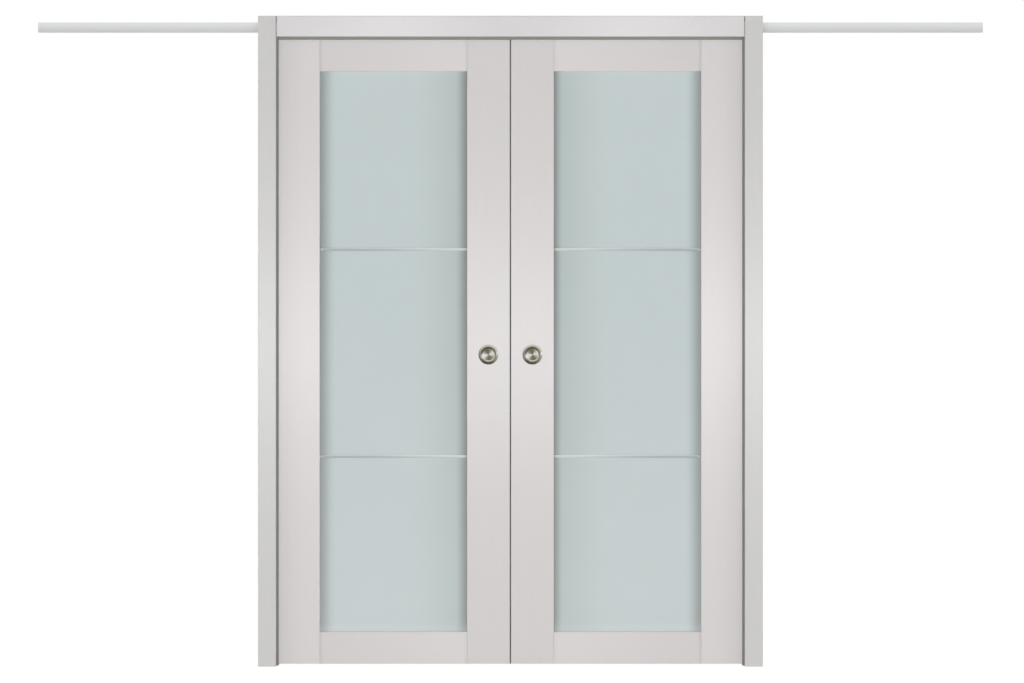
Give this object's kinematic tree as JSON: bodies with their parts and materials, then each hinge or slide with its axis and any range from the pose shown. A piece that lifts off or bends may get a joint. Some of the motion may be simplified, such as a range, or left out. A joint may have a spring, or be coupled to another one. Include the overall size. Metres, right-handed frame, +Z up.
{
  "type": "double pocket door",
  "caption": "Pair of glazed pocket doors that slide apart from the middle on an overhead track, with flush pulls, split jambs and casings.",
  "frame": {"origin": "on the floor, midway between the two closed leaves and midway through the wall", "axes": "+X to the right along the track, +Y away from the viewer through the wall, +Z up"},
  "size_m": [3.048, 0.136, 2.0925],
  "materials": {
    "leaf_wood": "pale ash laminate, satin, fine grain along each piece",
    "frame_wood": "pale ash laminate, satin, fine grain along each piece",
    "board_wood": "bare birch plywood",
    "dowel_wood": "bare beech",
    "frosted_glass": "white frosted glass with a slight green tint",
    "divider_aluminium": "brushed along its length, clear anodised",
    "track_aluminium": "extruded, matte anodised",
    "satin_nickel": "satin nickel, turned on a lathe, with fine circular marks",
    "zinc_steel": "bright zinc plate",
    "nylon": "natural white nylon, moulded",
    "seal_rubber": "dark grey extruded rubber, dull",
    "buffer_rubber": "black rubber, dull"
  },
  "bodies": {
    "frame": {"left_front_jamb": "frame_wood", "left_back_jamb": "frame_wood", "right_front_jamb": "frame_wood", "right_back_jamb": "frame_wood", "head_front_jamb": "frame_wood", "head_back_jamb": "frame_wood", "head_board": "board_wood", "left_front_casing": "frame_wood", "left_back_casing": "frame_wood", "right_front_casing": "frame_wood", "right_back_casing": "frame_wood", "head_front_casing": "frame_wood", "head_back_casing": "frame_wood", "draught_seals": "seal_rubber", "track": "track_aluminium", "frame_screws": "zinc_steel", "track_stops": "zinc_steel", "stop_buffers": "buffer_rubber", "floor_guides": "nylon"},
    "left_leaf": {"left_outer_stile": "leaf_wood", "left_meeting_stile": "leaf_wood", "left_top_rail": "leaf_wood", "left_bottom_rail": "leaf_wood", "left_glass_top": "frosted_glass", "left_glass_middle": "frosted_glass", "left_glass_bottom": "frosted_glass", "left_divider_bars": "divider_aluminium", "left_dowels": "dowel_wood", "left_front_pull": "satin_nickel", "left_back_pull": "satin_nickel", "left_edge_pull": "satin_nickel", "left_hanger_plates": "zinc_steel", "left_plate_screws": "zinc_steel", "left_hanger_bolts": "zinc_steel", "left_trolleys": "zinc_steel", "left_meeting_seals": "seal_rubber"},
    "left_wheel_pair_1": {"left_wheels_1": "nylon"},
    "left_wheel_pair_2": {"left_wheels_2": "nylon"},
    "left_wheel_pair_3": {"left_wheels_3": "nylon"},
    "left_wheel_pair_4": {"left_wheels_4": "nylon"},
    "right_leaf": {"right_outer_stile": "leaf_wood", "right_meeting_stile": "leaf_wood", "right_top_rail": "leaf_wood", "right_bottom_rail": "leaf_wood", "right_glass_top": "frosted_glass", "right_glass_middle": "frosted_glass", "right_glass_bottom": "frosted_glass", "right_divider_bars": "divider_aluminium", "right_dowels": "dowel_wood", "right_front_pull": "satin_nickel", "right_back_pull": "satin_nickel", "right_edge_pull": "satin_nickel", "right_hanger_plates": "zinc_steel", "right_plate_screws": "zinc_steel", "right_hanger_bolts": "zinc_steel", "right_trolleys": "zinc_steel"},
    "right_wheel_pair_1": {"right_wheels_1": "nylon"},
    "right_wheel_pair_2": {"right_wheels_2": "nylon"},
    "right_wheel_pair_3": {"right_wheels_3": "nylon"},
    "right_wheel_pair_4": {"right_wheels_4": "nylon"}
  },
  "joints": [
    {"name": "left_leaf_slide", "type": "slide", "parent": "frame", "child": "left_leaf", "axis": [-1, 0, 0], "range_m": [0, 0.742]},
    {"name": "left_wheel_roll_1", "type": "hinge", "parent": "left_leaf", "child": "left_wheel_pair_1", "pos_m": [-0.059, 0, 2.0562], "axis": [0, -1, 0], "continuous": true},
    {"name": "left_wheel_roll_2", "type": "hinge", "parent": "left_leaf", "child": "left_wheel_pair_2", "pos_m": [-0.095, 0, 2.0562], "axis": [0, -1, 0], "continuous": true},
    {"name": "left_wheel_roll_3", "type": "hinge", "parent": "left_leaf", "child": "left_wheel_pair_3", "pos_m": [-0.671, 0, 2.0562], "axis": [0, -1, 0], "continuous": true},
    {"name": "left_wheel_roll_4", "type": "hinge", "parent": "left_leaf", "child": "left_wheel_pair_4", "pos_m": [-0.707, 0, 2.0562], "axis": [0, -1, 0], "continuous": true},
    {"name": "right_leaf_slide", "type": "slide", "parent": "frame", "child": "right_leaf", "axis": [1, 0, 0], "range_m": [0, 0.742]},
    {"name": "right_wheel_roll_1", "type": "hinge", "parent": "right_leaf", "child": "right_wheel_pair_1", "pos_m": [0.059, 0, 2.0562], "axis": [0, 1, 0], "continuous": true},
    {"name": "right_wheel_roll_2", "type": "hinge", "parent": "right_leaf", "child": "right_wheel_pair_2", "pos_m": [0.095, 0, 2.0562], "axis": [0, 1, 0], "continuous": true},
    {"name": "right_wheel_roll_3", "type": "hinge", "parent": "right_leaf", "child": "right_wheel_pair_3", "pos_m": [0.671, 0, 2.0562], "axis": [0, 1, 0], "continuous": true},
    {"name": "right_wheel_roll_4", "type": "hinge", "parent": "right_leaf", "child": "right_wheel_pair_4", "pos_m": [0.707, 0, 2.0562], "axis": [0, 1, 0], "continuous": true}
  ],
  "couplings": [
    {"joint": "left_wheel_roll_1", "follows": "left_leaf_slide", "rad_per_m": 100},
    {"joint": "left_wheel_roll_2", "follows": "left_leaf_slide", "rad_per_m": 100},
    {"joint": "left_wheel_roll_3", "follows": "left_leaf_slide", "rad_per_m": 100},
    {"joint": "left_wheel_roll_4", "follows": "left_leaf_slide", "rad_per_m": 100},
    {"joint": "right_wheel_roll_1", "follows": "right_leaf_slide", "rad_per_m": 100},
    {"joint": "right_wheel_roll_2", "follows": "right_leaf_slide", "rad_per_m": 100},
    {"joint": "right_wheel_roll_3", "follows": "right_leaf_slide", "rad_per_m": 100},
    {"joint": "right_wheel_roll_4", "follows": "right_leaf_slide", "rad_per_m": 100}
  ]
}
